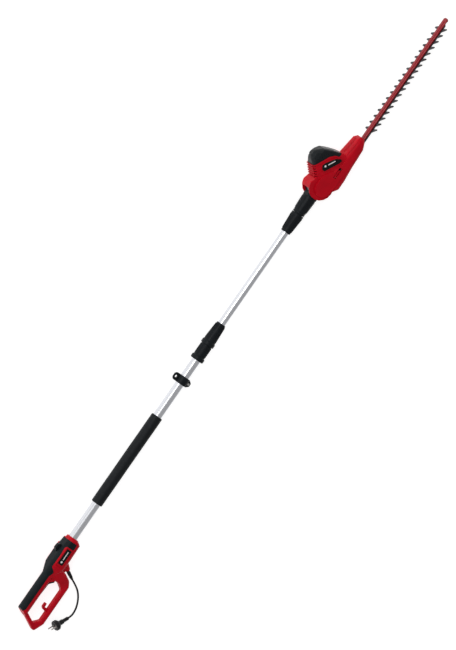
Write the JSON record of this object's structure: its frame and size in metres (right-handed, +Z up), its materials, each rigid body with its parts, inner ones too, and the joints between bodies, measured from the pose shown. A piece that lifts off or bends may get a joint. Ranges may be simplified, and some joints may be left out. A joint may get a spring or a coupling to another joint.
{
  "type": "pole hedge trimmer",
  "caption": "Corded pole hedge trimmer with a D-loop rear handle, a telescopic aluminium pole, a tilting red motor head and a double-sided toothed blade.",
  "frame": {"origin": "centre of the object's footprint as it lies on its right side, on the surface it lies on, without its lead", "axes": "+X along the pole towards the blade's tip, +Y towards the tool's top side, +Z up, away from the surface"},
  "size_m": [2.3499, 0.2795, 0.064],
  "materials": {
    "red_plastic": "deep red moulded housing plastic, satin gloss",
    "black_plastic": "black glass-filled plastic, fine spark texture",
    "cap_black": "black satin housing plastic",
    "soft_rubber": "black soft-touch rubber skin",
    "badge_black": "gloss black badge plate",
    "pale_plastic": "pale natural plastic",
    "sleeve_foam": "black closed-cell sleeve with a smooth skin",
    "tube_aluminium": "satin anodised drawn tube",
    "zinc_steel": "zinc-plated steel",
    "core_steel": "laminated core steel",
    "blade_steel": "laser-cut and ground blade steel",
    "rail_red": "red powder coat on steel",
    "cast_alloy": "die-cast light alloy",
    "copper": "enamelled copper",
    "carbon": "pressed carbon",
    "pin_metal": "nickel-plated brass",
    "cord_rubber": "black rubber sheath"
  },
  "bodies": {
    "handle": {"handle_shell_left": "red_plastic", "handle_shell_right": "red_plastic", "soft_grip": "soft_rubber", "front_collar": "red_plastic", "cable_hook": "red_plastic", "handle_badge_left": "badge_black", "handle_badge_right": "badge_black", "handle_screws": "zinc_steel", "trigger_pin": "zinc_steel", "trigger_spring": "zinc_steel", "switch_unit": "black_plastic", "terminal_block": "pale_plastic", "cord_boot": "cord_rubber", "power_cord": "cord_rubber", "plug_body": "cord_rubber", "plug_pins": "pin_metal", "outer_tube": "tube_aluminium", "grip_sleeve": "sleeve_foam", "lock_body": "black_plastic", "lock_collet": "pale_plastic", "spiral_cable": "cord_rubber"},
    "trigger": {"trigger": "black_plastic"},
    "lock_off": {"lock_off_slider": "black_plastic"},
    "strap_ring": {"strap_clamp": "black_plastic", "clamp_screw": "zinc_steel"},
    "lock_nut": {"lock_nut": "black_plastic"},
    "upper_pole": {"inner_tube": "tube_aluminium", "guide_bush": "pale_plastic", "pole_socket": "black_plastic", "contact_block": "pale_plastic", "head_connector": "black_plastic", "detent_ring": "core_steel"},
    "coupling_nut": {"coupling_nut": "black_plastic"},
    "head": {"head_shell_left": "red_plastic", "head_shell_right": "red_plastic", "motor_cap": "cap_black", "head_badge_left": "badge_black", "head_badge_right": "badge_black", "head_screws": "zinc_steel", "pivot_bolt": "zinc_steel", "stator": "core_steel", "field_coils": "copper", "motor_bearings": "zinc_steel", "end_bell": "black_plastic", "brush_holders": "copper", "carbon_brushes": "carbon", "gearbox_base": "cast_alloy", "gearbox_cover": "cast_alloy", "gear_axle": "zinc_steel", "blade_rail": "rail_red", "blade_bolts": "zinc_steel"},
    "tilt_latch": {"tilt_latch": "red_plastic"},
    "armature": {"armature": "core_steel", "motor_shaft": "zinc_steel", "commutator": "copper", "fan": "black_plastic"},
    "drive_gear": {"drive_gear": "zinc_steel"},
    "upper_blade": {"upper_blade": "blade_steel"},
    "lower_blade": {"lower_blade": "blade_steel"}
  },
  "joints": [
    {"name": "trigger_pull", "type": "hinge", "parent": "handle", "child": "trigger", "pos_m": [-1.066, -0.012, 0.032], "axis": [0, 0, 1], "range_deg": [0, 5.5], "stiffness_Nm_per_rad": 0.4, "springref_deg": -5.73, "deforming": ["trigger_spring"]},
    {"name": "lock_off_slide", "type": "slide", "parent": "handle", "child": "lock_off", "axis": [1, 0, 0], "range_m": [0, 0.005], "stiffness_N_per_m": 150, "springref_m": -0.003},
    {"name": "strap_ring_slide", "type": "slide", "parent": "handle", "child": "strap_ring", "axis": [1, 0, 0], "range_m": [-0.12, 0.06]},
    {"name": "lock_nut_twist", "type": "hinge", "parent": "handle", "child": "lock_nut", "pos_m": [-0.073, 0, 0.032], "axis": [1, 0, 0], "range_deg": [0, 150]},
    {"name": "telescope_slide", "type": "slide", "parent": "handle", "child": "upper_pole", "axis": [1, 0, 0], "range_m": [-0.34, 0.23], "deforming": ["spiral_cable"]},
    {"name": "coupling_twist", "type": "hinge", "parent": "upper_pole", "child": "coupling_nut", "pos_m": [0.3585, 0, 0.032], "axis": [1, 0, 0], "range_deg": [0, 90]},
    {"name": "head_tilt", "type": "hinge", "parent": "upper_pole", "child": "head", "pos_m": [0.5057, 0, 0.032], "axis": [0, 0, 1], "range_deg": [-75, 15]},
    {"name": "latch_slide", "type": "slide", "parent": "head", "child": "tilt_latch", "axis": [1, 0, 0], "range_m": [0, 0.005], "stiffness_N_per_m": 150, "springref_m": -0.003},
    {"name": "armature_spin", "type": "hinge", "parent": "head", "child": "armature", "pos_m": [0.579, 0, 0.032], "axis": [0, 1, 0], "continuous": true},
    {"name": "gear_spin", "type": "hinge", "parent": "head", "child": "drive_gear", "pos_m": [0.6082, 0, 0.032], "axis": [0, 1, 0], "continuous": true},
    {"name": "upper_blade_slide", "type": "slide", "parent": "head", "child": "upper_blade", "axis": [1, 0, 0], "range_m": [-0.007, 0.007]},
    {"name": "lower_blade_slide", "type": "slide", "parent": "head", "child": "lower_blade", "axis": [1, 0, 0], "range_m": [-0.007, 0.007]}
  ],
  "couplings": [
    {"joint": "gear_spin", "follows": "armature_spin", "ratio": -0.16},
    {"joint": "lower_blade_slide", "follows": "upper_blade_slide", "ratio": -1}
  ]
}
